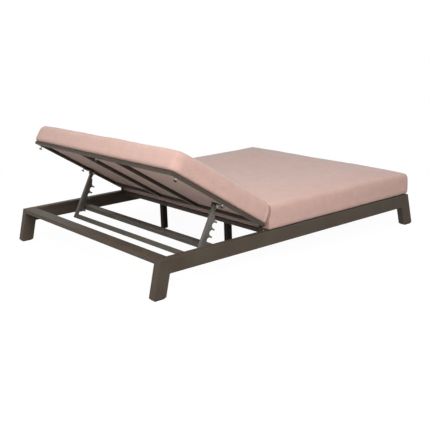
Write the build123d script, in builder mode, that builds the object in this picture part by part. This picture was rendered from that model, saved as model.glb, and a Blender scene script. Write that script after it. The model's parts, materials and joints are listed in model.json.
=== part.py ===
from build123d import *
from math import cos, radians, sin, sqrt
import os

# Overall sizes in mm: X across, Y from the head (-) to the foot (+), Z up from the floor
frame_width = 1550
frame_length = 2000
frame_height = 207
leg_splay = 51

# Aluminium profiles of the base frame
rail_depth = 81
rail_thick = 45
leg_width = 80
slab_chamfer = 2
groove_width = 3
groove_deep = 2
beam_thick = 24
end_beam_width = 73
beam_chamfer = 1.5
bar_width = 25
bar_thick = 20
bar_chamfer = 1.5

# Legs and glides
leg_foot_round = 8
glide_thick = 4
glide_inset = 2
mid_leg_size = 36
mid_leg_spacing = 676
mid_leg_from_beam_foot = 11
mid_leg_chamfer = 2

# Beams under the seat
hinge_beam_from_head = 750
hinge_beam_width = 90
seat_bar_spacing = 386
cross_beam_width = 40

# Catch bar that the hook racks reach over
catch_bar_depth = 50
catch_bar_height = 30
catch_bar_round = 4
catch_bar_from_head = 423
catch_bar_centre_height = 159

# Backrest frame and its hinge
back_angle = 32.6
back_from_frame_side = 25
back_length = 728
back_bar_spacing = 386
hinge_from_beam = 18
hinge_height = 242
hinge_rail_width = 40
hinge_rail_start = 16
hinge_pin_radius = 4
running_clearance = 0.05
lug_gap = 2
lug_thick = 5
lug_radius = 9.5
lug_foot_thick = 3.5
pin_head_radius = 6.5
pin_head_thick = 3
pin_head_gap = 0.5
nut_thick = 5

# Rubber bumpers under the backrest
bumper_stem_radius = 3
bumper_head_radius = 7
bumper_face_radius = 6
bumper_head_thick = 5
bumper_clearance = 0.3
mid_bumper_from_bracket = 2
head_bumper_from_head = 40

# Prop and the bracket that carries it
prop_from_rail = 60
pivot_along = 309
pivot_drop = 23
prop_lean = 28
prop_tube = 20
prop_length = 319
bracket_thick = 2.5
bracket_length = 38
bracket_inset = 2
ear_thick = 4
ear_radius = 12
washer_thick = 2.8
washer_clearance = 0.2
washer_radius = 9
pivot_bolt_radius = 5
bolt_head_radius = 8
bolt_head_thick = 5

# Hook racks on the prop legs
rack_thick = 5
rack_top_body = 10
rack_body = 18.5
rack_lead = 51
tooth_count = 5
tooth_pitch = 43
first_tooth_at = 86
tooth_reach = 46
tooth_back = 10
tooth_tip_round = 4.5
gullet_radius = 17
gullet_below_tip = 16
hook_angle = 18

# Cushions
seat_from_frame_side = 7
back_cushion_side_overhang = 12
side_bulge = 6
seat_edge_height = 134
seat_crown = 12
back_edge_height = 99
back_crown = 10
lay_gap = 0.3
cushion_joint_from_hinge = 12
cushion_joint_gap = 0.5
seat_foot_inset = 3
back_cushion_overhang = 4
top_round = 38
bottom_round = 22
end_round = 34
corner_draw = 26
round_steps = 4
body_steps = 2

overrun = 20

half_width = frame_width / 2
seat_half_width = half_width - seat_from_frame_side
half_length = frame_length / 2
rail_bottom = frame_height - rail_depth
inner_half_width = half_width - rail_thick
beam_bottom = frame_height - beam_thick
sides = {"left": -1, "right": 1}
ends = {"head": -1, "foot": 1}

os.makedirs("parts", exist_ok=True)


def save(piece, name):
    piece.part.label = name
    export_step(piece.part, f"parts/{name}.step")


# Distance of a corner leg's outer edge from the middle of the frame at a height
def leg_edge(height):
    return half_length + leg_splay * (frame_height - height) / frame_height


# Straight bar across the frame between the side rails, centred at a Y and a Z
def cross_bar(y, z, depth, height):
    with BuildPart() as bar:
        with BuildSketch(Plane.YZ):
            with Locations((y, z)):
                Rectangle(depth, height)
        extrude(amount=inner_half_width, both=True)
        chamfer(bar.edges().filter_by(Axis.X), beam_chamfer)
    return bar


# Side rails, mitred to the legs, grooved on the inner face level with the beams' undersides
rail_foot = leg_edge(rail_bottom) - leg_width
for side_name, side in sides.items():
    with BuildPart() as rail:
        with BuildSketch(Plane.YZ.offset(side * inner_half_width)):
            with BuildLine():
                Polyline(
                    (-half_length, frame_height),
                    (half_length, frame_height),
                    (rail_foot, rail_bottom),
                    (-rail_foot, rail_bottom),
                    close=True,
                )
            make_face()
        extrude(amount=side * rail_thick)
        chamfer(rail.edges().filter_by(Axis.Y), slab_chamfer)
        with BuildSketch(Plane.XZ):
            with Locations((side * inner_half_width, beam_bottom)):
                Rectangle(2 * groove_deep, groove_width)
        extrude(amount=half_length, both=True, mode=Mode.SUBTRACT)
    save(rail, f"side_rail_{side_name}")

# Corner legs and the glides under them
glide_length = leg_width - 2 * leg_foot_round - 2 * glide_inset
glide_middle = leg_edge(glide_thick) - leg_width / 2
for end_name, end in ends.items():
    for side_name, side in sides.items():
        with BuildPart() as leg:
            with BuildSketch(Plane.YZ.offset(side * inner_half_width)):
                with BuildLine():
                    Polyline(
                        (end * half_length, frame_height),
                        (end * rail_foot, rail_bottom),
                        (end * (leg_edge(glide_thick) - leg_width), glide_thick),
                        (end * leg_edge(glide_thick), glide_thick),
                        close=True,
                    )
                make_face()
            extrude(amount=side * rail_thick)
            fillet(leg.edges().filter_by(Axis.X).group_by(Axis.Z)[0], leg_foot_round)
            steep = leg.edges().filter_by(lambda edge: abs(edge.tangent_at(0.5).Z) > 0.9)
            chamfer(steep.sort_by(Axis.X, reverse=side > 0)[:2], slab_chamfer)
        save(leg, f"corner_leg_{end_name}_{side_name}")

        with BuildPart() as glide:
            with BuildSketch(Plane.XY):
                with Locations((side * (half_width - rail_thick / 2), end * glide_middle)):
                    Rectangle(rail_thick - 2 * glide_inset, glide_length)
            extrude(amount=glide_thick)
            chamfer(glide.edges().filter_by(Axis.Z), glide_inset)
        save(glide, f"corner_glide_{end_name}_{side_name}")

# End beams, whose outer faces follow the legs' splay
end_beam_inside = half_length - end_beam_width
for end_name, end in ends.items():
    with BuildPart() as end_beam:
        with BuildSketch(Plane.YZ):
            with BuildLine():
                Polyline(
                    (end * half_length, frame_height),
                    (end * leg_edge(beam_bottom), beam_bottom),
                    (end * end_beam_inside, beam_bottom),
                    (end * end_beam_inside, frame_height),
                    close=True,
                )
            make_face()
        extrude(amount=inner_half_width, both=True)
        chamfer(end_beam.edges().filter_by(Axis.X), beam_chamfer)
    save(end_beam, f"{end_name}_beam")

# Beam at the hinge line, and the mid legs under its foot edge
hinge_beam_head = -half_length + hinge_beam_from_head
hinge_beam_foot = hinge_beam_head + hinge_beam_width
hinge_beam = cross_bar(
    (hinge_beam_head + hinge_beam_foot) / 2,
    (beam_bottom + frame_height) / 2,
    hinge_beam_width,
    beam_thick,
)
save(hinge_beam, "hinge_beam")

mid_leg_y = hinge_beam_foot - mid_leg_from_beam_foot - mid_leg_size / 2
for side_name, side in sides.items():
    leg_spot = (side * mid_leg_spacing / 2, mid_leg_y)
    with BuildPart() as mid_leg:
        with BuildSketch(Plane.XY.offset(glide_thick)):
            with Locations(leg_spot):
                Rectangle(mid_leg_size, mid_leg_size)
        extrude(amount=beam_bottom - glide_thick)
        chamfer(mid_leg.edges().filter_by(Axis.Z), mid_leg_chamfer)
    save(mid_leg, f"mid_leg_{side_name}")

    mid_glide_size = mid_leg_size - 2 * glide_inset
    with BuildPart() as mid_glide:
        with BuildSketch(Plane.XY):
            with Locations(leg_spot):
                Rectangle(mid_glide_size, mid_glide_size)
        extrude(amount=glide_thick)
        chamfer(mid_glide.edges().filter_by(Axis.Z), glide_inset)
    save(mid_glide, f"mid_glide_{side_name}")

# Catch bar between the rails
with BuildPart() as catch_bar:
    with BuildSketch(Plane.YZ):
        with Locations((catch_bar_from_head - half_length, catch_bar_centre_height)):
            RectangleRounded(catch_bar_depth, catch_bar_height, catch_bar_round)
    extrude(amount=inner_half_width, both=True)
save(catch_bar, "catch_bar")

# Lengthwise seat bars, and the cross beam that carries them at mid-length
for side_name, side in sides.items():
    with BuildPart() as seat_bar:
        with BuildSketch(Plane.XZ.offset(-end_beam_inside)):
            with Locations((side * seat_bar_spacing / 2, frame_height - bar_thick / 2)):
                Rectangle(bar_width, bar_thick)
        extrude(amount=end_beam_inside - hinge_beam_foot)
        chamfer(seat_bar.edges().filter_by(Axis.Y), bar_chamfer)
    save(seat_bar, f"seat_bar_{side_name}")

cross_beam = cross_bar(
    (end_beam_inside + hinge_beam_foot) / 2,
    frame_height - bar_thick - beam_thick / 2,
    cross_beam_width,
    beam_thick,
)
save(cross_beam, "seat_cross_beam")

# Backrest axes from the hinge: along runs up to the head, upward leaves the frame's upper face
hinge_y = hinge_beam_head - hinge_from_beam
tilt = radians(back_angle)
along = Vector(0, -cos(tilt), sin(tilt))
upward = Vector(0, sin(tilt), cos(tilt))
hinge_point = Vector(0, hinge_y, hinge_height)
back_plane = Plane(origin=hinge_point, x_dir=(1, 0, 0), z_dir=upward)
back_half = half_width - back_from_frame_side
back_inner = back_half - bar_width
back_under = back_plane.offset(-bar_thick / 2)


# Plane across X through the backrest: its x runs along to the head, its y runs down off the frame
def back_side_plane(x):
    return Plane(origin=hinge_point + Vector(x, 0, 0), x_dir=along, z_dir=(1, 0, 0))


# Backrest side rails, rounded and drilled at the hinge, mitred to the head rail
for side_name, side in sides.items():
    with BuildPart() as back_rail:
        with BuildSketch(back_side_plane(side * (back_half + back_inner) / 2)):
            with Locations((back_length / 2, 0)):
                Rectangle(back_length, bar_thick)
            Circle(bar_thick / 2)
        extrude(amount=bar_width / 2, both=True)
        long_edges = back_rail.edges().filter_by(lambda edge: edge.length > back_length / 2)
        chamfer(long_edges, bar_chamfer)
        with BuildSketch(back_side_plane(side * (back_half + back_inner) / 2)):
            Circle(hinge_pin_radius + running_clearance)
        extrude(amount=bar_width, both=True, mode=Mode.SUBTRACT)
        with BuildSketch(back_plane):
            with BuildLine():
                Polyline(
                    (side * (back_half + overrun), -back_length - overrun),
                    (side * (back_inner - overrun), -back_length + bar_width + overrun),
                    (side * (back_inner - overrun), -back_length - overrun),
                    close=True,
                )
            make_face()
        extrude(amount=bar_thick, both=True, mode=Mode.SUBTRACT)
    save(back_rail, f"back_rail_{side_name}")

with BuildPart() as head_rail:
    with BuildSketch(back_under):
        with BuildLine():
            Polyline(
                (-back_half, -back_length),
                (back_half, -back_length),
                (back_inner, -back_length + bar_width),
                (-back_inner, -back_length + bar_width),
                close=True,
            )
        make_face()
    extrude(amount=bar_thick)
    chamfer(head_rail.edges().filter_by(Axis.X), bar_chamfer)
save(head_rail, "back_head_rail")

with BuildPart() as hinge_rail:
    with BuildSketch(back_under):
        with Locations((0, -hinge_rail_start - hinge_rail_width / 2)):
            Rectangle(2 * back_inner, hinge_rail_width)
    extrude(amount=bar_thick)
    chamfer(hinge_rail.edges().filter_by(Axis.X), bar_chamfer)
save(hinge_rail, "back_hinge_rail")

back_bar_start = hinge_rail_start + hinge_rail_width
back_bar_end = back_length - bar_width
for side_name, side in sides.items():
    with BuildPart() as back_bar:
        with BuildSketch(back_under):
            with Locations((side * back_bar_spacing / 2, -(back_bar_start + back_bar_end) / 2)):
                Rectangle(bar_width, back_bar_end - back_bar_start)
        extrude(amount=bar_thick)
        long_edges = back_bar.edges().filter_by(lambda edge: edge.length > 2 * bar_width)
        chamfer(long_edges, bar_chamfer)
    save(back_bar, f"back_bar_{side_name}")

# Hinge brackets inside the backrest's rails, footed on the side rails, with their pins and nuts
lug_outer = back_inner - lug_gap
lug_inner = lug_outer - lug_thick
pin_head_face = back_half + pin_head_gap
for side_name, side in sides.items():
    with BuildPart() as hinge_bracket:
        with BuildSketch(Plane.YZ.offset(side * lug_inner)):
            with Locations((hinge_y, (frame_height + hinge_height) / 2)):
                Rectangle(2 * lug_radius, hinge_height - frame_height)
            with Locations((hinge_y, hinge_height)):
                Circle(lug_radius)
                Circle(hinge_pin_radius, mode=Mode.SUBTRACT)
        extrude(amount=side * lug_thick)
        with BuildSketch(Plane.XY.offset(frame_height)):
            with Locations((side * (lug_inner + back_half) / 2, hinge_y)):
                Rectangle(back_half - lug_inner, 2 * lug_radius)
        extrude(amount=lug_foot_thick)
    save(hinge_bracket, f"hinge_bracket_{side_name}")

    with BuildPart() as hinge_pin:
        with BuildSketch(Plane.YZ.offset(side * pin_head_face)):
            with Locations((hinge_y, hinge_height)):
                Circle(pin_head_radius)
        extrude(amount=side * pin_head_thick)
        with BuildSketch(Plane.YZ.offset(side * pin_head_face)):
            with Locations((hinge_y, hinge_height)):
                Circle(hinge_pin_radius)
        extrude(amount=side * (lug_inner - nut_thick - pin_head_face))
    save(hinge_pin, f"hinge_pin_{side_name}")

    with BuildPart() as hinge_nut:
        with BuildSketch(Plane.YZ.offset(side * lug_inner)):
            with Locations((hinge_y, hinge_height)):
                RegularPolygon(pin_head_radius, 6)
                Circle(hinge_pin_radius, mode=Mode.SUBTRACT)
        extrude(amount=-side * nut_thick)
    save(hinge_nut, f"hinge_nut_{side_name}")

# Bumpers: a stem and a tapered head that comes down on the base frame when the back lies flat
bumper_drop = hinge_height - frame_height - bumper_clearance
side_bumper_x = back_half - bar_width / 2
head_bumper_at = back_length - head_bumper_from_head
mid_bumper_at = pivot_along + bracket_length / 2 + mid_bumper_from_bracket + bumper_head_radius
bumper_spots = {
    "bumper_head_left": (-side_bumper_x, head_bumper_at),
    "bumper_head_right": (side_bumper_x, head_bumper_at),
    "bumper_mid_left": (-side_bumper_x, mid_bumper_at),
    "bumper_mid_right": (side_bumper_x, mid_bumper_at),
    "bumper_head_centre": (0, back_length - bar_width / 2),
}
for bumper_name, (bumper_x, bumper_at) in bumper_spots.items():
    with BuildPart() as bumper:
        with BuildSketch(back_plane.offset(-bumper_drop)):
            with Locations((bumper_x, -bumper_at)):
                Circle(bumper_face_radius)
        with BuildSketch(back_plane.offset(bumper_head_thick - bumper_drop)):
            with Locations((bumper_x, -bumper_at)):
                Circle(bumper_head_radius)
        loft()
        with BuildSketch(back_plane.offset(bumper_head_thick - bumper_drop)):
            with Locations((bumper_x, -bumper_at)):
                Circle(bumper_stem_radius)
        extrude(amount=bumper_drop - bumper_head_thick - bar_thick / 2)
    save(bumper, bumper_name)

# Prop planes: u runs down the prop from its pivot, w runs across it to the foot
lean = radians(prop_lean)
pivot_point = hinge_point + along * pivot_along - upward * pivot_drop
down_prop = Vector(0, -sin(lean), -cos(lean))
across_prop = Vector(0, cos(lean), -sin(lean))
prop_face = Plane(origin=pivot_point, x_dir=(1, 0, 0), z_dir=across_prop)
tube_half = prop_tube / 2
prop_half = back_inner - prop_from_rail - tube_half
prop_outer = prop_half + tube_half
prop_inner = prop_half - tube_half


def prop_side_plane(x):
    return Plane(origin=pivot_point + Vector(x, 0, 0), x_dir=down_prop, z_dir=(1, 0, 0))


# Prop legs, rounded and drilled at the pivot, mitred to the bottom bar
for side_name, side in sides.items():
    with BuildPart() as prop_leg:
        with BuildSketch(prop_side_plane(side * prop_half)):
            with Locations((prop_length / 2, 0)):
                Rectangle(prop_length, prop_tube)
            Circle(tube_half)
        extrude(amount=tube_half, both=True)
        long_edges = prop_leg.edges().filter_by(lambda edge: edge.length > prop_length / 2)
        chamfer(long_edges, bar_chamfer)
        with BuildSketch(prop_side_plane(side * prop_half)):
            Circle(pivot_bolt_radius + running_clearance)
        extrude(amount=prop_tube, both=True, mode=Mode.SUBTRACT)
        with BuildSketch(prop_face):
            with BuildLine():
                Polyline(
                    (side * (prop_outer + overrun), prop_length + overrun),
                    (side * (prop_inner - overrun), prop_length - prop_tube - overrun),
                    (side * (prop_inner - overrun), prop_length + overrun),
                    close=True,
                )
            make_face()
        extrude(amount=prop_tube, both=True, mode=Mode.SUBTRACT)
    save(prop_leg, f"prop_leg_{side_name}")

with BuildPart() as prop_bar:
    with BuildSketch(prop_face):
        with BuildLine():
            Polyline(
                (-prop_outer, prop_length),
                (prop_outer, prop_length),
                (prop_inner, prop_length - prop_tube),
                (-prop_inner, prop_length - prop_tube),
                close=True,
            )
        make_face()
    extrude(amount=tube_half, both=True)
    chamfer(prop_bar.edges().filter_by(Axis.X), bar_chamfer)
save(prop_bar, "prop_bar")

# Hook racks: claws that hang over round gullets, one gullet for each height of the backrest
rack_root = tube_half + rack_body
tooth_tip = tube_half + tooth_reach
gullet_w = rack_root + gullet_radius
hook_rise = gullet_radius * cos(radians(hook_angle))
hook_w = gullet_w + gullet_radius * sin(radians(hook_angle))
gullet_slant = gullet_radius / sqrt(2)
rack_top = first_tooth_at - rack_lead
lead_u = first_tooth_at - tooth_pitch + gullet_below_tip
for side_name, side in sides.items():
    with BuildPart() as rack:
        with BuildSketch(prop_side_plane(side * prop_half)) as rack_outline:
            with BuildLine() as rack_line:
                Polyline(
                    (rack_top, tube_half),
                    (rack_top, tube_half + rack_top_body),
                    (lead_u, rack_root),
                )
                ThreePointArc(
                    (lead_u, rack_root),
                    (lead_u + gullet_slant, gullet_w - gullet_slant),
                    (lead_u + gullet_radius, gullet_w),
                )
                for tooth in range(tooth_count):
                    tip_u = first_tooth_at + tooth * tooth_pitch
                    gullet_u = tip_u + gullet_below_tip
                    Polyline(
                        rack_line.line @ 1,
                        (tip_u - tooth_back, tooth_tip),
                        (gullet_u - hook_rise, tooth_tip),
                        (gullet_u - hook_rise, hook_w),
                    )
                    if tooth < tooth_count - 1:
                        ThreePointArc(
                            (gullet_u - hook_rise, hook_w),
                            (gullet_u, rack_root),
                            (gullet_u + gullet_radius, gullet_w),
                        )
                ThreePointArc(
                    (gullet_u - hook_rise, hook_w),
                    (gullet_u - gullet_radius, gullet_w),
                    (gullet_u - gullet_slant, gullet_w - gullet_slant),
                )
                Polyline(
                    (gullet_u - gullet_slant, gullet_w - gullet_slant),
                    (gullet_u, tube_half),
                    (rack_top, tube_half),
                )
            make_face()
            fillet(rack_outline.vertices().group_by(Axis.Y)[-1], tooth_tip_round)
        extrude(amount=rack_thick / 2, both=True)
    save(rack, f"hook_rack_{side_name}")

# Prop brackets under the backrest rails: a plate with two ears round each prop leg
washer_room = washer_thick + washer_clearance
outer_ear = prop_outer + washer_room
inner_ear = prop_inner - washer_room
plate_under = bar_thick / 2 + bracket_thick
for side_name, side in sides.items():
    with BuildPart() as prop_bracket:
        plate_inner = inner_ear - ear_thick - bracket_inset
        with BuildSketch(back_under):
            with Locations((side * (plate_inner + back_half) / 2, -pivot_along)):
                Rectangle(back_half - plate_inner, bracket_length)
        extrude(amount=-bracket_thick)
        for ear_x in (outer_ear, inner_ear - ear_thick):
            with BuildSketch(back_side_plane(side * (ear_x + ear_thick / 2))):
                with Locations((pivot_along, (plate_under + pivot_drop) / 2)):
                    Rectangle(2 * ear_radius, pivot_drop - plate_under)
                with Locations((pivot_along, pivot_drop)):
                    Circle(ear_radius)
                    Circle(pivot_bolt_radius, mode=Mode.SUBTRACT)
                with Locations((pivot_along, 0)):
                    Rectangle(bracket_length, 2 * plate_under, mode=Mode.SUBTRACT)
            extrude(amount=ear_thick / 2, both=True)
    save(prop_bracket, f"prop_bracket_{side_name}")

    with BuildPart() as pivot_bolt:
        with BuildSketch(back_side_plane(side * (outer_ear + ear_thick))):
            with Locations((pivot_along, pivot_drop)):
                Circle(bolt_head_radius)
        extrude(amount=side * bolt_head_thick)
        with BuildSketch(back_side_plane(side * (outer_ear + ear_thick))):
            with Locations((pivot_along, pivot_drop)):
                Circle(pivot_bolt_radius)
        extrude(amount=side * (inner_ear - outer_ear - 2 * ear_thick - bolt_head_thick))
    save(pivot_bolt, f"pivot_bolt_{side_name}")

    with BuildPart() as pivot_nut:
        with BuildSketch(back_side_plane(side * (inner_ear - ear_thick))):
            with Locations((pivot_along, pivot_drop)):
                RegularPolygon(bolt_head_radius, 6)
                Circle(pivot_bolt_radius, mode=Mode.SUBTRACT)
        extrude(amount=-side * bolt_head_thick)
    save(pivot_nut, f"pivot_nut_{side_name}")

    with BuildPart() as washers:
        for washer_x, outward in ((outer_ear, -side), (inner_ear, side)):
            with BuildSketch(back_side_plane(side * washer_x)):
                with Locations((pivot_along, pivot_drop)):
                    Circle(washer_radius)
                    Circle(pivot_bolt_radius, mode=Mode.SUBTRACT)
            extrude(amount=outward * washer_thick)
    save(washers, f"pivot_washers_{side_name}")


# Cushion outline across X, drawn up from its underside: flat base, drawn-in edges, full sides, crown
def cushion_outline(half, height, crown):
    low = bottom_round
    high = top_round
    low_turn = low - low / sqrt(2)
    high_turn = high - high / sqrt(2)
    with BuildLine() as outline:
        Line((low - half, 0), (half - low, 0))
        for side in (1, -1):
            ThreePointArc(
                (side * (half - low), 0),
                (side * (half - low_turn), low_turn),
                (side * half, low),
            )
            ThreePointArc(
                (side * half, low),
                (side * (half + side_bulge), (low + height - high) / 2),
                (side * half, height - high),
            )
            ThreePointArc(
                (side * half, height - high),
                (side * (half - high_turn), height - high_turn),
                (side * (half - high), height),
            )
        ThreePointArc((half - high, height), (0, height + crown), (high - half, height))
    return outline.line


# Stations of a cushion in three runs, both rounded ends and the body between them: share of the length,
# and how far the end rounding has fallen away there
def cushion_stations(length):
    quarter = [radians(90) * step / round_steps for step in range(round_steps + 1)]
    start = end_round / length
    near = [((1 - cos(turn)) * start, 1 - sin(turn)) for turn in quarter]
    body = [(start + (1 - 2 * start) * step / body_steps, 0) for step in range(body_steps + 1)]
    far = [(1 - place, fallen) for place, fallen in reversed(near)]
    return near, body, far


# Crown at a place along the length as a share of the full crown
def crown_share(place):
    return 0.25 + 0.75 * sin(radians(180) * place)


back_half_width = back_half + back_cushion_side_overhang
joint_y = hinge_y + cushion_joint_from_hinge
seat_start = joint_y + cushion_joint_gap / 2
seat_end = half_length - seat_foot_inset
seat_length = seat_end - seat_start
with BuildPart() as seat_cushion:
    for run in cushion_stations(seat_length):
        for place, fallen in run:
            seat_outline = cushion_outline(
                seat_half_width - corner_draw * fallen,
                seat_edge_height - end_round * fallen,
                seat_crown * crown_share(place),
            )
            seat_section = Plane(
                origin=(0, seat_start + place * seat_length, frame_height + lay_gap),
                x_dir=(1, 0, 0),
                z_dir=(0, -1, 0),
            )
            with BuildSketch(seat_section):
                add(seat_outline)
                make_face()
        loft(ruled=len(run) > body_steps + 1)
save(seat_cushion, "seat_cushion")

# Back cushion: its lower end stands upright against the seat cushion in the raised position
back_lay = bar_thick / 2 + lay_gap
back_start = -(joint_y - cushion_joint_gap / 2 - hinge_y - back_lay * sin(tilt)) / cos(tilt)
back_cushion_length = back_length + back_cushion_overhang - back_start
round_share = end_round / back_cushion_length
with BuildPart() as back_cushion:
    for run in cushion_stations(back_cushion_length):
        for place, fallen in run:
            body_share = min(1, max(0, (place - round_share) / (1 - 2 * round_share)))
            turn = tilt * cos(radians(90) * body_share) ** 2
            back_outline = cushion_outline(
                back_half_width - corner_draw * fallen,
                (back_edge_height - end_round * fallen) / cos(turn),
                back_crown * crown_share(place),
            )
            up_section = upward * cos(turn) + along * sin(turn)
            section_foot = hinge_point + along * (back_start + place * back_cushion_length)
            back_section = Plane(
                origin=section_foot + upward * back_lay,
                x_dir=(1, 0, 0),
                z_dir=Vector(1, 0, 0).cross(up_section),
            )
            with BuildSketch(back_section):
                add(back_outline)
                make_face()
        loft(ruled=len(run) > body_steps + 1)
save(back_cushion, "back_cushion")
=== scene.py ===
import json
from math import cos, pi, radians, sin

import bpy
import numpy as np
from mathutils import Matrix, Vector


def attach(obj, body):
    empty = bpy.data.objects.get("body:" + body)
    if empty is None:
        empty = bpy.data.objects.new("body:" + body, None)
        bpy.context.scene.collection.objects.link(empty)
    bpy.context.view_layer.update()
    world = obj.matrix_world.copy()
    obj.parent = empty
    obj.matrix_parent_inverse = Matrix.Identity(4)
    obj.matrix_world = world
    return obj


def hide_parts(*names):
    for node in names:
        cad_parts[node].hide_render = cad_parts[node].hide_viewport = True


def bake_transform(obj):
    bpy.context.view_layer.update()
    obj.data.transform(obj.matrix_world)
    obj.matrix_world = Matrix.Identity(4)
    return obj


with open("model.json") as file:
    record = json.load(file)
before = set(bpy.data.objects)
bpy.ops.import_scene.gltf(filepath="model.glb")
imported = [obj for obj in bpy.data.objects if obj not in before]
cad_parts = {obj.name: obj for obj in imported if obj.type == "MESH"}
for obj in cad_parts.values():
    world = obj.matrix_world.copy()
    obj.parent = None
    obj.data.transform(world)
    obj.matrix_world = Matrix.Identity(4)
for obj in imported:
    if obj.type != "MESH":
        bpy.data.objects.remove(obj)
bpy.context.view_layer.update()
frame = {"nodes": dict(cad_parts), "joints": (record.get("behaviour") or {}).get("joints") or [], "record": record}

nodes = frame["nodes"]
scene = bpy.context.scene
scene.view_settings.view_transform = "Standard"


# Colours and nodes

def hexColor(text):
    # sRGB hex to linear: the usual two-part curve, low end straight and the rest a power of 2.4
    srgb = [int(text[i:i + 2], 16) / 255 for i in (1, 3, 5)]
    return tuple(c / 12.92 if c <= 0.04045 else ((c + 0.055) / 1.055) ** 2.4 for c in srgb) + (1,)


def addNode(tree, kind, inputs=(), **settings):
    # a node with its settings; inputs maps a socket to a value or to another node's output
    node = tree.nodes.new(kind)
    for key, value in settings.items():
        setattr(node, key, value)
    for key, value in dict(inputs).items():
        if isinstance(value, bpy.types.NodeSocket):
            tree.links.new(value, node.inputs[key])
        else:
            node.inputs[key].default_value = value
    return node


def startMaterial(name):
    material = bpy.data.materials.new(name)
    material.use_nodes = True
    tree = material.node_tree
    tree.nodes.clear()
    return material, tree


# Materials

coatSurface = {"grainSize": 0.0016, "grainShare": 0.35, "peel": 0.35, "peelDepth": 0.0004,
               "roughSpread": 0.05}


def powderCoat(name, spec):
    # aluminium with a baked polyester powder coat: satin, with a fine orange peel and slow drifts in tone
    material, tree = startMaterial(name)
    place = addNode(tree, "ShaderNodeTexCoord").outputs["Object"]
    drift = addNode(tree, "ShaderNodeTexNoise", {
        "Vector": place, "Scale": 1 / spec["driftSize"], "Detail": 3})
    grain = addNode(tree, "ShaderNodeTexNoise", {
        "Vector": place, "Scale": 1 / coatSurface["grainSize"], "Detail": 2})
    mixed = addNode(tree, "ShaderNodeMix", {
        "Factor": coatSurface["grainShare"], "A": drift.outputs["Fac"], "B": grain.outputs["Fac"]})
    tone = addNode(tree, "ShaderNodeValToRGB", {"Fac": mixed.outputs["Result"]})
    tone.color_ramp.elements[0].position = 0.32
    tone.color_ramp.elements[1].position = 0.68
    tone.color_ramp.elements[0].color = hexColor(spec["dark"])
    tone.color_ramp.elements[1].color = hexColor(spec["light"])
    rough = addNode(tree, "ShaderNodeMapRange", {
        "Value": drift.outputs["Fac"], "From Min": 0.3, "From Max": 0.7,
        "To Min": spec["rough"] - coatSurface["roughSpread"],
        "To Max": spec["rough"] + coatSurface["roughSpread"]})
    peel = addNode(tree, "ShaderNodeBump", {
        "Height": grain.outputs["Fac"], "Strength": coatSurface["peel"],
        "Distance": coatSurface["peelDepth"]})
    shader = addNode(tree, "ShaderNodeBsdfPrincipled", {
        "Base Color": tone.outputs["Color"], "Roughness": rough.outputs["Result"],
        "Normal": peel.outputs["Normal"], "IOR": 1.5, "Specular IOR Level": spec["shine"]})
    addNode(tree, "ShaderNodeOutputMaterial", {"Surface": shader.outputs[0]})
    return material


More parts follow.
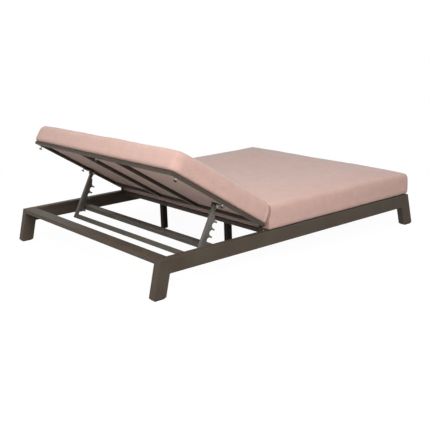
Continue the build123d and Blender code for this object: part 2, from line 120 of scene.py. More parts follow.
def wovenFabric(name, spec):
    # solution-dyed outdoor cloth, plain weave: soft, matte, heathered, with a pale sheen at grazing angles
    material, tree = startMaterial(name)
    cloth = addNode(tree, "ShaderNodeUVMap", uv_map="cloth").outputs["UV"]
    place = addNode(tree, "ShaderNodeTexCoord").outputs["Object"]
    # warp and weft: the bands of a wave texture are pi / 10 apart at scale 1
    warp, weft = [addNode(tree, "ShaderNodeTexWave", {
        "Vector": cloth, "Scale": pi / 10 / spec["thread"],
        "Distortion": 1.2, "Detail": 1, "Detail Scale": 2}, bands_direction=way) for way in ("X", "Y")]
    weave = addNode(tree, "ShaderNodeMath", {
        0: warp.outputs["Fac"], 1: weft.outputs["Fac"]}, operation="ADD")
    slubs = addNode(tree, "ShaderNodeTexNoise", {
        "Vector": cloth, "Scale": 1 / spec["slubSize"], "Detail": 4})
    mottle = addNode(tree, "ShaderNodeTexNoise", {
        "Vector": place, "Scale": 1 / spec["mottleSize"], "Detail": 3})
    tone = addNode(tree, "ShaderNodeValToRGB", {"Fac": mottle.outputs["Fac"]})
    tone.color_ramp.elements[0].position = 0.3
    tone.color_ramp.elements[1].position = 0.7
    tone.color_ramp.elements[0].color = hexColor(spec["dark"])
    tone.color_ramp.elements[1].color = hexColor(spec["light"])
    fleck = addNode(tree, "ShaderNodeMapRange", {
        "Value": slubs.outputs["Fac"], "From Min": 0.3, "From Max": 0.7, "To Min": 0.94, "To Max": 1.05})
    threads = addNode(tree, "ShaderNodeMapRange", {
        "Value": weave.outputs[0], "From Min": 0.2, "From Max": 1.8, "To Min": 0.93, "To Max": 1.04})
    both = addNode(tree, "ShaderNodeMath", {
        0: fleck.outputs["Result"], 1: threads.outputs["Result"]}, operation="MULTIPLY")
    shade = addNode(tree, "ShaderNodeVectorMath", {
        0: tone.outputs["Color"], "Scale": both.outputs[0]}, operation="SCALE")
    # sewn edges: the cloth dips into the seam, is puckered beside it, and carries a row of stitches; the colour is
    # darkened in the dip, painted shade
    seam = addNode(tree, "ShaderNodeUVMap", uv_map="seam").outputs["UV"]
    fromSeam, alongSeam = addNode(tree, "ShaderNodeSeparateXYZ", {"Vector": seam}).outputs[:2]
    dip = addNode(tree, "ShaderNodeMapRange", {
        "Value": fromSeam, "From Min": 0.0, "From Max": spec["seamWidth"]},
        interpolation_type="SMOOTHSTEP")
    puckerPlace = addNode(tree, "ShaderNodeVectorMath", {
        0: seam, 1: (1 / spec["puckerLength"], 1 / spec["puckerWidth"], 0)}, operation="MULTIPLY")
    pucker = addNode(tree, "ShaderNodeTexNoise", {
        "Vector": puckerPlace.outputs[0], "Scale": 1.0, "Detail": 1})
    beside = addNode(tree, "ShaderNodeMapRange", {
        "Value": fromSeam, "From Min": spec["puckerFade"][0], "From Max": spec["puckerFade"][1],
        "To Min": 1.0, "To Max": 0.0}, interpolation_type="SMOOTHSTEP")
    folds = addNode(tree, "ShaderNodeMath", {
        0: pucker.outputs["Fac"], 1: beside.outputs["Result"]}, operation="MULTIPLY")
    toRow = addNode(tree, "ShaderNodeMath", {0: fromSeam, 1: spec["stitchRow"]}, operation="SUBTRACT")
    fromRow = addNode(tree, "ShaderNodeMath", {0: toRow.outputs[0]}, operation="ABSOLUTE")
    inRow = addNode(tree, "ShaderNodeMath", {
        0: fromRow.outputs[0], 1: spec["stitchHalfWidth"]}, operation="LESS_THAN")
    pace = addNode(tree, "ShaderNodeMath", {0: alongSeam, 1: spec["stitchPace"]}, operation="MODULO")
    onThread = addNode(tree, "ShaderNodeMath", {
        0: pace.outputs[0], 1: spec["stitchPace"] * spec["stitchShare"]}, operation="LESS_THAN")
    stitch = addNode(tree, "ShaderNodeMath", {
        0: inRow.outputs[0], 1: onThread.outputs[0]}, operation="MULTIPLY")
    # painted shade: the colour falls to 0.8 of itself in the seam's dip
    seamPaintedShade = addNode(tree, "ShaderNodeMapRange", {
        "Value": dip.outputs["Result"], "From Min": 0.0, "From Max": 0.5, "To Min": 0.8, "To Max": 1.0})
    shade = addNode(tree, "ShaderNodeVectorMath", {
        0: shade.outputs[0], "Scale": seamPaintedShade.outputs["Result"]}, operation="SCALE")
    shade = addNode(tree, "ShaderNodeMix", {
        "Factor": stitch.outputs[0], "A": shade.outputs[0], "B": hexColor(spec["stitch"])}, data_type="RGBA")
    weaveBump = addNode(tree, "ShaderNodeBump", {
        "Height": weave.outputs[0], "Strength": 0.35, "Distance": spec["weaveDepth"]})
    foldBump = addNode(tree, "ShaderNodeBump", {
        "Height": folds.outputs[0], "Strength": 0.5, "Distance": spec["puckerDepth"],
        "Normal": weaveBump.outputs["Normal"]})
    seamBump = addNode(tree, "ShaderNodeBump", {
        "Height": dip.outputs["Result"], "Strength": 0.7, "Distance": spec["seamDepth"],
        "Normal": foldBump.outputs["Normal"]})
    shader = addNode(tree, "ShaderNodeBsdfPrincipled", {
        "Base Color": shade.outputs["Result"], "Roughness": 0.92, "Normal": seamBump.outputs["Normal"],
        "Sheen Weight": spec["sheen"], "Sheen Roughness": 0.45, "Sheen Tint": hexColor(spec["sheenTint"]),
        "Specular IOR Level": 0.1})
    addNode(tree, "ShaderNodeOutputMaterial", {"Surface": shader.outputs[0]})
    return material


def plainSteel(name, spec):
    # stainless steel, turned and tumbled: bright, a little scratched
    material, tree = startMaterial(name)
    place = addNode(tree, "ShaderNodeTexCoord").outputs["Object"]
    marks = addNode(tree, "ShaderNodeTexNoise", {
        "Vector": place, "Scale": 1 / spec["markSize"], "Detail": 3})
    rough = addNode(tree, "ShaderNodeMapRange", {
        "Value": marks.outputs["Fac"], "To Min": spec["rough"][0], "To Max": spec["rough"][1]})
    shader = addNode(tree, "ShaderNodeBsdfPrincipled", {
        "Base Color": hexColor(spec["color"]), "Metallic": 1.0, "Roughness": rough.outputs["Result"]})
    addNode(tree, "ShaderNodeOutputMaterial", {"Surface": shader.outputs[0]})
    return material


def mouldedRubber(name, spec):
    # moulded rubber: near black, dull, faintly pebbled
    material, tree = startMaterial(name)
    place = addNode(tree, "ShaderNodeTexCoord").outputs["Object"]
    pebble = addNode(tree, "ShaderNodeTexNoise", {
        "Vector": place, "Scale": 1 / spec["pebbleSize"], "Detail": 2})
    tone = addNode(tree, "ShaderNodeValToRGB", {"Fac": pebble.outputs["Fac"]})
    tone.color_ramp.elements[0].color = hexColor(spec["dark"])
    tone.color_ramp.elements[1].color = hexColor(spec["light"])
    bump = addNode(tree, "ShaderNodeBump", {
        "Height": pebble.outputs["Fac"], "Strength": 0.3, "Distance": spec["pebbleDepth"]})
    shader = addNode(tree, "ShaderNodeBsdfPrincipled", {
        "Base Color": tone.outputs["Color"], "Roughness": 0.6, "Normal": bump.outputs["Normal"],
        "Specular IOR Level": 0.25})
    addNode(tree, "ShaderNodeOutputMaterial", {"Surface": shader.outputs[0]})
    return material


# the frame and the backrest
bronzeCoat = powderCoat("powderCoatedAluminiumTaupe", {
    "dark": "#463d35", "light": "#524a41", "driftSize": 0.16, "rough": 0.48, "shine": 0.13})
# the mid legs, nearly black: a darker, duller copy of the frame's coat, with painted shade for their place under
# the cushion
paintedShadeCoat = powderCoat("powderCoatedAluminiumPaintedShade", {
    "dark": "#2b2521", "light": "#342e29", "driftSize": 0.16, "rough": 0.55, "shine": 0.05})
# the catch bar and the prop's bottom bar: a darker copy of the prop's grey, between the frame's tone and the
# prop's, with painted shade for their place under the backrest
shadedGreyCoat = powderCoat("powderCoatedAluminiumGreyPaintedShade", {
    "dark": "#4d4944", "light": "#5b5752", "driftSize": 0.12, "rough": 0.45, "shine": 0.16})
# the prop's legs and racks
greyCoat = powderCoat("powderCoatedAluminiumGrey", {
    "dark": "#5a5753", "light": "#706d69", "driftSize": 0.12, "rough": 0.42, "shine": 0.22})
pinkCloth = wovenFabric("wovenOutdoorClothPink", {
    "dark": "#c6a49b", "light": "#cdaba2", "mottleSize": 0.055, "slubSize": 0.009,
    "sheen": 0.55, "sheenTint": "#ccd8d6",
    # real threads are about 0.7 mm apart, drawn coarser so that they show
    "thread": 0.0026, "weaveDepth": 0.0005,
    "seamWidth": 0.003, "seamDepth": 0.0015,
    "puckerLength": 0.08, "puckerWidth": 0.035, "puckerFade": (0.004, 0.045), "puckerDepth": 0.006,
    # real stitches are about 3 mm long and half a millimetre thick, drawn coarser so that they show
    "stitch": "#c9a9a0", "stitchRow": 0.006, "stitchHalfWidth": 0.0007, "stitchPace": 0.005,
    "stitchShare": 0.7})
steel = plainSteel("tumbledStainlessSteel", {"color": "#b9b6b0", "rough": (0.24, 0.42), "markSize": 0.004})
rubber = mouldedRubber("mouldedRubberBlack", {
    "dark": "#191817", "light": "#242220", "pebbleSize": 0.002, "pebbleDepth": 0.0003})

finishes = {"frame_coat": bronzeCoat, "prop_coat": greyCoat, "outdoor_fabric": pinkCloth,
            "black_rubber": rubber, "steel": steel}
for part in frame["record"]["subparts"]:
    piece = nodes[part["node"]]
    piece.data.materials.clear()
    piece.data.materials.append(finishes[part["material_slot"]])
# the mid legs take the coat with painted shade in place of the frame's own
for nodeName in ("mid_leg_left", "mid_leg_right"):
    nodes[nodeName].data.materials[0] = paintedShadeCoat
# the catch bar takes the darker grey coat with painted shade
nodes["catch_bar"].data.materials[0] = shadedGreyCoat
print("materials are on the frame")


# Mesh helpers

def makePiece(name, shape, material, body, maps=None, smooth=True):
    # shape is points and faces; the object stays at the origin, with its place in its mesh
    points, faces = shape
    mesh = bpy.data.meshes.new(name)
    mesh.from_pydata(np.asarray(points, float).tolist(), [], [list(face) for face in faces])
    for mapName, places in (maps or {}).items():
        mesh.uv_layers.new(name=mapName).data.foreach_set("uv", np.asarray(places, np.float32).ravel())
    mesh.polygons.foreach_set("use_smooth", np.full(len(mesh.polygons), smooth))
    mesh.update()
    piece = bpy.data.objects.new(name, mesh)
    scene.collection.objects.link(piece)
    mesh.materials.append(material)
    if body:
        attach(piece, body)
    return piece


def skinRings(rings):
    # quads between successive rings of points, each ring closed on itself, and a fan at either end
    ringCount, sides, _ = rings.shape
    turn = np.arange(sides)
    following = (turn + 1) % sides
    ringStart = np.arange(ringCount - 1)[:, None] * sides
    here = (ringStart + turn).ravel()
    beside = (ringStart + following).ravel()
    lastRing = (ringCount - 1) * sides
    pole = np.full(sides, ringCount * sides)
    faces = np.stack([here, beside, beside + sides, here + sides], 1).tolist()
    faces += np.stack([following, turn, pole], 1).tolist()
    faces += np.stack([lastRing + turn, lastRing + following, pole + 1], 1).tolist()
    return np.vstack([rings.reshape(-1, 3), rings[0].mean(0), rings[-1].mean(0)]), faces


def joinShells(shells):
    # shells one after another in one mesh: a face's corner numbers rise by the points before its shell
    points, faces, count = [], [], 0
    for shellPoints, shellFaces in shells:
        points.append(shellPoints)
        faces += [[i + count for i in face] for face in shellFaces]
        count += len(shellPoints)
    return np.vstack(points), faces


def lathe(profile, place, axis, sides):
    # radius and height along an axis, turned about it: place + height * axis + radius * (cos, sin)
    axis = np.array(axis, float) / np.linalg.norm(axis)
    side = np.cross(axis, (0, 0, 1) if abs(axis[2]) < 0.9 else (1, 0, 0))
    side /= np.linalg.norm(side)
    up = np.cross(axis, side)
    turn = np.arange(sides) * 2 * pi / sides
    ring = np.cos(turn)[:, None] * side + np.sin(turn)[:, None] * up
    radius, height = np.array(profile, float).T[:, :, None, None]
    return skinRings(np.array(place) + height * axis + radius * ring)


# The backrest's own directions, from its hinge

hinge = np.array(frame["joints"][0]["pos_m"])
tilt = radians(32.6)  # above flat, in the position of rest
headward = np.array([0, -cos(tilt), sin(tilt)])
outward = np.array([0, sin(tilt), cos(tilt)])


def onBack(x, s, n):
    # a place on the backrest: x across, s up from the hinge to the head, n above the frame's middle plane
    return hinge + np.array([x, 0, 0]) + s * headward + n * outward


# Cushions

def rise(value, start, length):
    # 0 up to start, then straight up to 1 over the length
    return np.clip((value - start) / length, 0, 1)


def fall(value, end, length):
    # 1 until a length before the end, then straight down to 0 at the end
    return np.clip((end - value) / length, 0, 1)


def boxLattice(size, step):
    # six grids of quads on a box, sewn together where they share a lattice place; on each panel cloth is the
    # distance in both directions, seam is the distance from the nearest edge and the distance along it
    size = np.array(size)
    count = np.maximum(np.round(size / step).astype(int), 2)
    pitch = size / count
    corners, cloth, seam = [], [], []
    for axis in range(3):
        plane = [(axis + 1) % 3, (axis + 2) % 3]
        i, j = np.meshgrid(np.arange(count[plane[0]]), np.arange(count[plane[1]]), indexing="ij")
        for end in (0, 1):
            stepI, stepJ = np.array([0, 1, 1, 0]), np.array([0, 0, 1, 1])
            if end == 0:
                stepI, stepJ = stepJ, stepI
            quad = np.zeros((i.size, 4, 3), int)
            quad[..., axis] = end * count[axis]
            quad[..., plane[0]] = i.reshape(-1, 1) + stepI
            quad[..., plane[1]] = j.reshape(-1, 1) + stepJ
            corners.append(quad)
            flat = quad[..., plane] * pitch[plane]
            cloth.append(flat)
            fromLow, fromHigh = flat, size[plane] - flat
            room = np.stack([fromLow[..., 0], fromHigh[..., 0], fromLow[..., 1], fromHigh[..., 1]], 1)
            nearest = room.mean(2).argmin(1)
            away = room[np.arange(len(room)), nearest]
            along = np.where((nearest < 2)[:, None], flat[..., 1], flat[..., 0])
            seam.append(np.stack([away, along], 2))
    lattice = np.concatenate(corners).reshape(-1, 3)
    places, index = np.unique(lattice, axis=0, return_inverse=True)
    maps = {"cloth": np.concatenate(cloth).reshape(-1, 2), "seam": np.concatenate(seam).reshape(-1, 2)}
    return places / count, index.reshape(-1, 4), maps


def squareToDisc(s, t):
    # a corner square drawn to a quarter disc: same direction, and the larger coordinate becomes the radius
    size = np.maximum(s, t)
    reach = np.maximum(np.hypot(s, t), 1e-9)
    return s * size / reach, t * size / reach


shell = {"gather": 0.4, "gatherReach": 0.085,  # rows of points stand closer at the edges, over this reach
         "lengthParts": 24}  # the pressed end's rounds take hold over the last of so many parts


def cushionShell(share, size, rounds):
    # the box's surface drawn in: its rows of points gather towards its sides, its top and bottom edges go to
    # rounds of their own and its corners to a round in plan, all tighter at the end that presses on the
    # other cushion
    half = np.array(size) / 2
    p = (share - 0.5) * size
    fromEdge = half - np.abs(p)
    spread = 1 - shell["gather"]
    gathered = fromEdge * (shell["gather"] + spread * np.minimum(fromEdge / shell["gatherReach"], 1))
    p[:, :2] = (np.sign(p) * (half - gathered))[:, :2]
    towardsEnd = rounds["pressedEnd"] * (share[:, 1] - 0.5) * shell["lengthParts"]
    pressed = np.clip(towardsEnd - (shell["lengthParts"] / 2 - 1), 0, 1)
    sign = np.where(p < 0, -1.0, 1.0)
    x, y = np.abs(p[:, 0]), np.abs(p[:, 1])
    z = p[:, 2].copy()
    inset = np.minimum(half[0] - x, half[1] - y)
    drawn = inset.copy()
    for edge, radius, tight in ((1, rounds["top"], rounds["top"]), (-1, rounds["bottom"], rounds["tight"])):
        radius = radius + (tight - radius) * pressed
        s = 1 - inset / radius
        t = 1 - (half[2] - edge * z) / radius
        turned = (s > 0) & (t > 0)
        newS, newT = squareToDisc(s[turned], t[turned])
        drawn[turned] = radius[turned] * (1 - newS)
        z[turned] = edge * (half[2] - radius[turned] * (1 - newT))
    corner = rounds["corner"] + (rounds["tight"] - rounds["corner"]) * pressed
    s = (x - half[0] + corner) / corner
    t = (y - half[1] + corner) / corner
    inCorner = (s > 0) & (t > 0)
    grown = (1 - drawn / corner) / np.maximum(np.maximum(s, t), 1e-6)
    discX, discY = squareToDisc(s[inCorner] * grown[inCorner], t[inCorner] * grown[inCorner])
    byX = ~inCorner & (half[0] - x <= half[1] - y)
    byY = ~inCorner & ~byX
    x[byX] = half[0] - drawn[byX]
    y[byY] = half[1] - drawn[byY]
    x[inCorner] = half[0] - corner[inCorner] * (1 - discX)
    y[inCorner] = half[1] - corner[inCorner] * (1 - discY)
    return np.stack([x, y, z], 1) * (sign * (1, 1, 0) + (0, 0, 1))


def waves(u, v, seed, lengths):
    # a smooth random field: four sines of each length, in random directions and phases, scaled to about 1
    rng = np.random.default_rng(seed)
    total = np.zeros_like(u)
    for length in lengths:
        for _ in range(4):
            angle, phase = rng.uniform(0, 2 * pi, 2)
            total += np.sin(2 * pi * (u * cos(angle) + v * sin(angle)) / length + phase)
    return total / (2 * np.sqrt(len(lengths)))


def readVertices(mesh, key):
    values = np.zeros(len(mesh.vertices) * 3)
    mesh.vertices.foreach_get(key, values)
    return values.reshape(-1, 3)


air = {"pressure": 4.5, "frames": 15, "quality": 5, "mass": 0.3, "stiffness": 10, "bending": 0.3,
       "spring": 10, "core": 0.1, "edge": 0.5, "edgeReach": 0.05, "pull": 0.004, "quickPuff": 0.014}


def inflate(piece, spec):
    # cloth under air pressure, sprung to its foam; each point's move is eased off towards the cap
    rest = readVertices(piece.data, "co")
    cloth = piece.modifiers.new("air", "CLOTH")
    cloth.settings.quality = air["quality"]
    cloth.settings.mass = air["mass"]
    cloth.settings.tension_stiffness = air["stiffness"]
    cloth.settings.compression_stiffness = air["stiffness"]
    cloth.settings.shear_stiffness = air["stiffness"] / 3
    cloth.settings.bending_stiffness = air["bending"]
    # springs to the foam's own shape: soft over the panels, firm along the sewn edges
    near = np.sort(np.array(spec["size"]) / 2 - np.abs(rest), axis=1)[:, 1]
    hold = air["core"] + (air["edge"] - air["core"]) * np.exp(-np.maximum(near, 0) / air["edgeReach"])
    foam = piece.vertex_groups.new(name="foam")
    for level in np.unique(hold.round(2)):
        foam.add(np.flatnonzero(hold.round(2) == level).tolist(), float(level), "REPLACE")
    cloth.settings.vertex_group_mass = "foam"
    cloth.settings.pin_stiffness = air["spring"]
    cloth.settings.use_pressure = True
    cloth.settings.uniform_pressure_force = air["pressure"]
    cloth.settings.effector_weights.gravity = 0
    cloth.collision_settings.use_collision = False
    cloth.point_cache.frame_start = 1
    cloth.point_cache.frame_end = air["frames"]
    for number in range(1, air["frames"] + 1):
        scene.frame_set(number)
    moved = readVertices(piece.evaluated_get(bpy.context.evaluated_depsgraph_get()).to_mesh(), "co")
    piece.modifiers.remove(cloth)
    scene.frame_set(1)
    normal = readVertices(piece.data, "normal")
    move = moved - rest
    out = (move * normal).sum(1)
    slide = move - out[:, None] * normal
    most = np.where(out > 0, spec["cap"], air["pull"])
    out = most * np.tanh(out / most)
    length = np.maximum(np.linalg.norm(slide, axis=1), 1e-9)[:, None]
    slide *= air["pull"] * np.tanh(length / air["pull"]) / length
    print("  the cloth stands out by", np.percentile(out * 1000, (2, 25, 50, 75, 98)).round(1), "mm")
    return rest + out[:, None] * normal + slide


def makePad(name, spec):
    share, quads, maps = boxLattice(spec["size"], spec["step"])
    points = cushionShell(share, spec["size"], spec["rounds"])
    piece = makePiece(name, (points, quads), pinkCloth, None, maps)
    points = inflate(piece, spec)
    return piece, points


def finishPad(piece, x, y, z):
    piece.data.vertices.foreach_set("co", np.stack([x, y, z], 1).astype(np.float32).ravel())
    piece.data.update()
    soften = piece.modifiers.new("soften", "SUBSURF")
    soften.levels = soften.render_levels = 1
    soften.boundary_smooth = "ALL"


crease = {"heights": (0.200, 0.245, 0.262, 0.290, 0.346, 0.372, 0.400),
          "places": (-0.2555, -0.2560, -0.2590, -0.2440, -0.2400, -0.2530, -0.2730), "gap": 0.0007}


def creaseLine(z):
    # Y of the crease between the two cushions at a height: the back bulges over the seat's end
    return np.interp(z, crease["heights"], crease["places"])


# seat cushion: lies flat on the rails, its head end pressed in by the back cushion; in a pair whose name ends
# in Starts or Ends, the first number is that place and the second is the length that the change takes
seatPad = {"size": (1.530, 1.268, 0.149), "step": 0.018, "middle": (0, 0.3825), "low": 0.2074,
           "rounds": {"top": 0.036, "bottom": 0.014, "corner": 0.028, "tight": 0.014, "pressedEnd": -1},
           "cap": 0.024, "seed": 7, "hollows": 0.0012, "hollowLengths": (0.62, 0.27),
           "side": 0.765, "topStarts": (0.30, 0.06), "footStarts": (0.55, 0.47),
           "unevenDrop": 0.006, "cornerDrop": 0.007,
           "pressReach": 0.05, "footEnd": 1.022,
           "swell": 0.03, "swellReach": 0.06, "outerStarts": (0.7, 1.0), "swellEnds": (0.40, 0.06),
           "bulge": 0.008, "bulgeStarts": (0.9, 0.1), "bulgeEnds": (0.365, 0.08),
           "opening": 0.013, "openingReach": 0.04, "openingStarts": (0.69, 0.06),
           "openingEnds": (0.375, 0.03)}
seatCushion, points = makePad("seatCushionSoft", seatPad)
x, y, z = (points + (*seatPad["middle"], seatPad["low"] + seatPad["size"][2] / 2)).T
# its foot edge sits a little unevenly, and the top has shallow hollows
top = rise(z, *seatPad["topStarts"])
footness = rise(y, *seatPad["footStarts"]) ** 2
nearCorner = rise(x, 0, seatPad["side"]) ** 6
z = z - top * footness * (seatPad["unevenDrop"] * x / seatPad["side"] + seatPad["cornerDrop"] * nearCorner)
z = z + top * seatPad["hollows"] * waves(x, y, seatPad["seed"], seatPad["hollowLengths"])
z = np.maximum(z, seatPad["low"])
# the head end follows the crease, and the press dies away down the seat
end = y.min()
y = y + (creaseLine(z) + crease["gap"] - end) * np.exp(-(y - end) / seatPad["pressReach"])
y = np.clip(y, creaseLine(z) + crease["gap"], seatPad["footEnd"])
# the pressed foam swells a little sideways
nearCrease = fall(y, creaseLine(z) + seatPad["swellReach"], seatPad["swellReach"]) ** 2
outer = rise(np.abs(x), *seatPad["outerStarts"]) * fall(z, *seatPad["swellEnds"])
x = x + np.sign(x) * seatPad["swell"] * nearCrease * outer
# the foot end is fullest low down
y = y + seatPad["bulge"] * rise(y, *seatPad["bulgeStarts"]) * fall(z, *seatPad["bulgeEnds"])
# the two cushions part a little at the sides, where the corner of the seat turns away
outer = rise(np.abs(x), *seatPad["openingStarts"]) * fall(z, *seatPad["openingEnds"])
nearCrease = fall(y, creaseLine(z) + seatPad["openingReach"], seatPad["openingReach"])
y = y + seatPad["opening"] * outer * nearCrease
finishPad(seatCushion, x, y, z)
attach(seatCushion, "base")
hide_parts("seat_cushion")
print("seat cushion is made")

# back cushion: made lying flat, its hinge end slanted so that it stands upright at rest, and then laid on
# the backrest
backPad = {"size": (1.532, 0.738, 0.117), "step": 0.017, "start": 0.008, "low": 0.0104,
           "rounds": {"top": 0.042, "bottom": 0.014, "corner": 0.046, "tight": 0.006, "pressedEnd": 1},
           "cap": 0.022, "seed": 11, "hollows": 0.0012, "hollowLengths": (0.62, 0.27),
           "side": 0.766, "head": 0.369, "topReach": 0.05, "cornerDrop": 0.007,
           "slantReach": 0.40, "endFace": -0.2691, "endReach": 0.12, "undersideReach": 0.05,
           "swell": 0.08, "swellReach": 0.06, "outerStarts": (0.7, 1.0), "swellStarts": (0.24, 0.06),
           "swellEnds": (0.42, 0.06)}
backCushion, points = makePad("backCushionSoft", backPad)
x, y, z = points.T
# its head corners sag a little, and the top has shallow hollows
headCorner = rise(np.abs(x), 0, backPad["side"]) ** 8 * rise(-y, 0, backPad["head"]) ** 4
z = z - rise(z, 0, backPad["topReach"]) * backPad["cornerDrop"] * headCorner
hollows = backPad["hollows"] * waves(x, y, backPad["seed"], backPad["hollowLengths"])
z = z + rise(z, 0, backPad["topReach"]) * hollows
# s up the backrest and n above the underside, and from there to its place
n = np.maximum(z + backPad["size"][2] / 2, 0)
s = backPad["start"] + backPad["size"][1] / 2 - y
nearHinge = fall(s, backPad["start"] + backPad["slantReach"], backPad["slantReach"])
s = s + n * np.tan(tilt) * nearHinge ** 2
places = hinge + np.outer(x, (1, 0, 0)) + np.outer(s, headward) + np.outer(n + backPad["low"], outward)
x, y, z = places.T
# the hinge end follows the crease, except at its underside, which stays on the rail
endness = rise(y, backPad["endFace"] - backPad["endReach"], backPad["endReach"])
aboveRail = rise(n, 0, backPad["undersideReach"])
y = y + (creaseLine(z) - backPad["endFace"]) * endness ** 2 * aboveRail
y = np.minimum(y, creaseLine(z) - crease["gap"])
# the pressed foam swells a little sideways
nearCrease = rise(y, creaseLine(z) - backPad["swellReach"], backPad["swellReach"]) ** 2
outer = rise(np.abs(x), *backPad["outerStarts"])
midHeight = rise(z, *backPad["swellStarts"]) * fall(z, *backPad["swellEnds"])
x = x + np.sign(x) * backPad["swell"] * outer * nearCrease * midHeight
finishPad(backCushion, x, y, z)
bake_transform(backCushion)
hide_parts("back_cushion")
print("back cushion is made")


# Hardware

# rubber bumpers under the backrest, each on a stud with a nut: profiles are radius and height above the middle
# plane, and spots are x and the distance up from the hinge
bumper = {"foot": ((0.0082, -0.0300), (0.0090, -0.0296), (0.0096, -0.0262), (0.0096, -0.0246),
                   (0.0086, -0.0238)),
          "stud": ((0.0033, -0.0240), (0.0033, -0.0101)),
          "nut": ((0.0055, -0.0138), (0.0058, -0.0134), (0.0058, -0.0106), (0.0055, -0.0101)),
          "spots": {"bumper_head_left": (-0.7375, 0.681), "bumper_head_right": (0.7375, 0.681),
                    "bumper_mid_left": (-0.7375, 0.330), "bumper_mid_right": (0.7375, 0.330),
                    "bumper_head_centre": (0.0, 0.7085)}}
for nodeName, (x, s) in bumper["spots"].items():
    spot = onBack(x, s, 0)
    foot = lathe(bumper["foot"], spot, outward, sides=28)
    disc = makePiece(nodeName + "_disc", foot, rubber, "backrest")
    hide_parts(nodeName)
    stud = lathe(bumper["stud"], spot, outward, sides=16)
    nut = lathe(bumper["nut"], spot, outward, sides=6)
    makePiece(nodeName + "_stud", joinShells([stud, nut]), steel, "backrest")
print("bumpers are made")

# bottom bar of the prop, mitred into the legs and a little deeper than they are wide
propBar = {"outer": 0.665, "inner": 0.645, "length": 0.319, "lean": 28, "tube": 0.020, "deep": 0.030,
           "edge": 0.0012}


def propBarShape(spec):
    # an outline of six corners, given by x and the height above the legs' ends, drawn out to both sides
    pivot = np.array(frame["joints"][1]["pos_m"])
    lean = radians(spec["lean"])
    down = np.array([0, -sin(lean), -cos(lean)])
    across = np.array([0, cos(lean), -sin(lean)])
    right = np.array([(spec["outer"], 0), (spec["inner"], spec["tube"]), (spec["inner"], spec["deep"])])
    corners = np.vstack([right[:1] * (-1, 1), right, right[:0:-1] * (-1, 1)])
    outline = pivot + corners[:, :1] * (1, 0, 0) + (spec["length"] - corners[:, 1:]) * down
    half = spec["tube"] / 2 * across
    count = len(corners)
    faces = [range(count), range(2 * count - 1, count - 1, -1)]
    faces += [(i + count, (i + 1) % count + count, (i + 1) % count, i) for i in range(count)]
    return np.vstack([outline - half, outline + half]), faces


# the bar takes the darker grey coat with painted shade
bar = makePiece("propBarDeep", propBarShape(propBar), shadedGreyCoat, "prop", smooth=False)
roundEdges = bar.modifiers.new("edges", "BEVEL")
roundEdges.width = propBar["edge"]
roundEdges.segments = 2
roundEdges.limit_method = "ANGLE"
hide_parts("prop_bar")
print("prop bar is made")

# screw heads: two under each rail of the backrest at the prop bracket, one on each hinge bracket; the profile
# is in shares of the radius and the height
screw = {"radius": 0.0045, "height": 0.0024, "bracketX": 0.7375, "bracketPlaces": (0.298, 0.320),
         "bracketLevel": -0.0124, "hingePlace": (0.7425, -0.268, 0.2104),
         "profile": ((0.98, 0), (1, 0.3), (0.86, 0.75), (0.55, 1), (0.45, 1), (0.40, 0.55), (0.05, 0.5))}


def screwHead(place, axis):
    # a low dome over a short rim, with a round recess in its middle
    return lathe(np.array(screw["profile"]) * (screw["radius"], screw["height"]), place, axis, sides=24)


for side, sideName in ((-1, "left"), (1, "right")):
    plateScrews = [screwHead(onBack(side * screw["bracketX"], s, screw["bracketLevel"]), -outward)
                   for s in screw["bracketPlaces"]]
    makePiece("bracketScrews_" + sideName, joinShells(plateScrews), steel, "backrest")
    flangeScrew = screwHead(np.array(screw["hingePlace"]) * (side, 1, 1), (0, 0, 1))
    makePiece("hingeScrew_" + sideName, flangeScrew, steel, "base")
print("screws are made")


# Floor, light and camera

lamps = {
    "keyLamp": {"place": (1.0, -3.6, 3.4), "target": (0.1, -0.6, 0.3), "size": 2.0, "watts": 98,
                "color": "#fffaf5"},
    "topLamp": {"place": (0.0, 0.2, 4.0), "target": (0, 0.2, 0.2), "size": 3.2, "watts": 60,
                "color": "#f8faff"},
    "sideLamp": {"place": (4.3, -1.3, 2.8), "target": (0.5, -0.2, 0.3), "size": 2.0, "watts": 156,
                 "color": "#fffdfa"},
    "fillLamp": {"place": (0.2, -4.6, 0.40), "target": (0.0, -0.9, 0.30), "size": 1.4, "watts": 27,
                 "color": "#fff6ee"}}
for name, spec in lamps.items():
    lamp = bpy.data.lights.new(name, "AREA")
    lamp.shape = "DISK"
    lamp.size = spec["size"]
    lamp.energy = spec["watts"]
    lamp.color = hexColor(spec["color"])[:3]
    holder = bpy.data.objects.new(name, lamp)
    scene.collection.objects.link(holder)
    aim = Vector(spec["target"]) - Vector(spec["place"])
    facing = aim.to_track_quat("-Z", "Y").to_matrix().to_4x4()
    holder.matrix_world = Matrix.Translation(spec["place"]) @ facing


def seenRays(tree):
    # 1 for the rays that see the background straight, in gloss or through glass, 0 for those that light
    rays = addNode(tree, "ShaderNodeLightPath")
    seen = addNode(tree, "ShaderNodeMath", {
        0: rays.outputs["Is Camera Ray"], 1: rays.outputs["Is Glossy Ray"]}, operation="MAXIMUM")
    seen = addNode(tree, "ShaderNodeMath", {
        0: seen.outputs[0], 1: rays.outputs["Is Transmission Ray"]}, operation="MAXIMUM")
    return seen.outputs[0]


studio = {"ambient": "#f6f8fb", "strength": 0.10, "backdrop": "#ffffff"}
world = bpy.data.worlds.new("studio")
scene.world = world
world.use_nodes = True
tree = world.node_tree
tree.nodes.clear()
ambient = addNode(tree, "ShaderNodeBackground", {
    "Color": hexColor(studio["ambient"]), "Strength": studio["strength"]})
backdrop = addNode(tree, "ShaderNodeBackground", {"Color": hexColor(studio["backdrop"]), "Strength": 1.0})
both = addNode(tree, "ShaderNodeMixShader", {
    0: seenRays(tree), 1: ambient.outputs[0], 2: backdrop.outputs[0]})
addNode(tree, "ShaderNodeOutputWorld", {"Surface": both.outputs[0]})

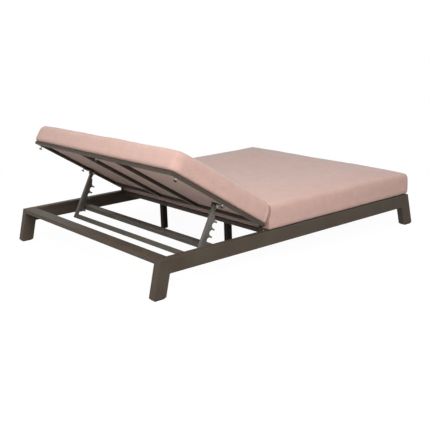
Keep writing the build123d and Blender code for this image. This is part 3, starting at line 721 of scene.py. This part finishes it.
# floor: shows white with the object's shadow on it near the middle, and lights the object as pale paint does;
# albedo and bounce are linear colours
floorSet = {"half": 30.0, "drop": 0.0006, "glow": 0.965, "albedo": (0.06, 0.06, 0.06, 1),
            "shadowFade": (1.6, 3.2), "white": "#ffffff", "bounce": (0.54, 0.53, 0.52, 1)}
floorMaterial, tree = startMaterial("paintedFloorWhite")
place = addNode(tree, "ShaderNodeTexCoord").outputs["Object"]
fromMiddle = addNode(tree, "ShaderNodeVectorMath", {0: place}, operation="LENGTH")
far = addNode(tree, "ShaderNodeMapRange", {
    "Value": fromMiddle.outputs["Value"], "From Min": floorSet["shadowFade"][0],
    "From Max": floorSet["shadowFade"][1]}, interpolation_type="SMOOTHSTEP")
glow = addNode(tree, "ShaderNodeEmission", {
    "Color": hexColor(floorSet["white"]), "Strength": floorSet["glow"]})
paint = addNode(tree, "ShaderNodeBsdfDiffuse", {"Color": floorSet["albedo"]})
near = addNode(tree, "ShaderNodeAddShader", {0: glow.outputs[0], 1: paint.outputs[0]})
white = addNode(tree, "ShaderNodeEmission", {"Color": hexColor(floorSet["white"]), "Strength": 1.0})
shown = addNode(tree, "ShaderNodeMixShader", {
    0: far.outputs["Result"], 1: near.outputs[0], 2: white.outputs[0]})
bounce = addNode(tree, "ShaderNodeBsdfDiffuse", {"Color": floorSet["bounce"]})
both = addNode(tree, "ShaderNodeMixShader", {0: seenRays(tree), 1: bounce.outputs[0], 2: shown.outputs[0]})
addNode(tree, "ShaderNodeOutputMaterial", {"Surface": both.outputs[0]})
corners = np.array([(-1, -1, 0), (1, -1, 0), (1, 1, 0), (-1, 1, 0)]) * floorSet["half"]
mesh = bpy.data.meshes.new("floor")
mesh.from_pydata((corners - (0, 0, floorSet["drop"])).tolist(), [], [(0, 1, 2, 3)])
mesh.materials.append(floorMaterial)
floor = bpy.data.objects.new("floor", mesh)
scene.collection.objects.link(floor)

cameraSet = {"place": (3.750, -3.022, 1.370), "yaw": -51.28, "pitch": 14.61, "roll": -1.93, "lens": 63.15,
             "sensor": 36, "clipEnd": 200}
yaw, pitch, roll = (radians(cameraSet[key]) for key in ("yaw", "pitch", "roll"))
ahead = Vector((cos(pitch) * sin(yaw), cos(pitch) * cos(yaw), -sin(pitch)))
right = ahead.cross(Vector((0, 0, 1))).normalized()
up = right.cross(ahead)
rolledRight = right * cos(roll) + up * sin(roll)
rolledUp = up * cos(roll) - right * sin(roll)
camera = bpy.data.cameras.new("camera")
camera.lens = cameraSet["lens"]
camera.sensor_width = cameraSet["sensor"]
camera.clip_end = cameraSet["clipEnd"]
holder = bpy.data.objects.new("camera", camera)
scene.collection.objects.link(holder)
turn = Matrix((rolledRight, rolledUp, -ahead)).transposed().to_4x4()
holder.matrix_world = Matrix.Translation(cameraSet["place"]) @ turn
scene.camera = holder
print("camera and light are set")
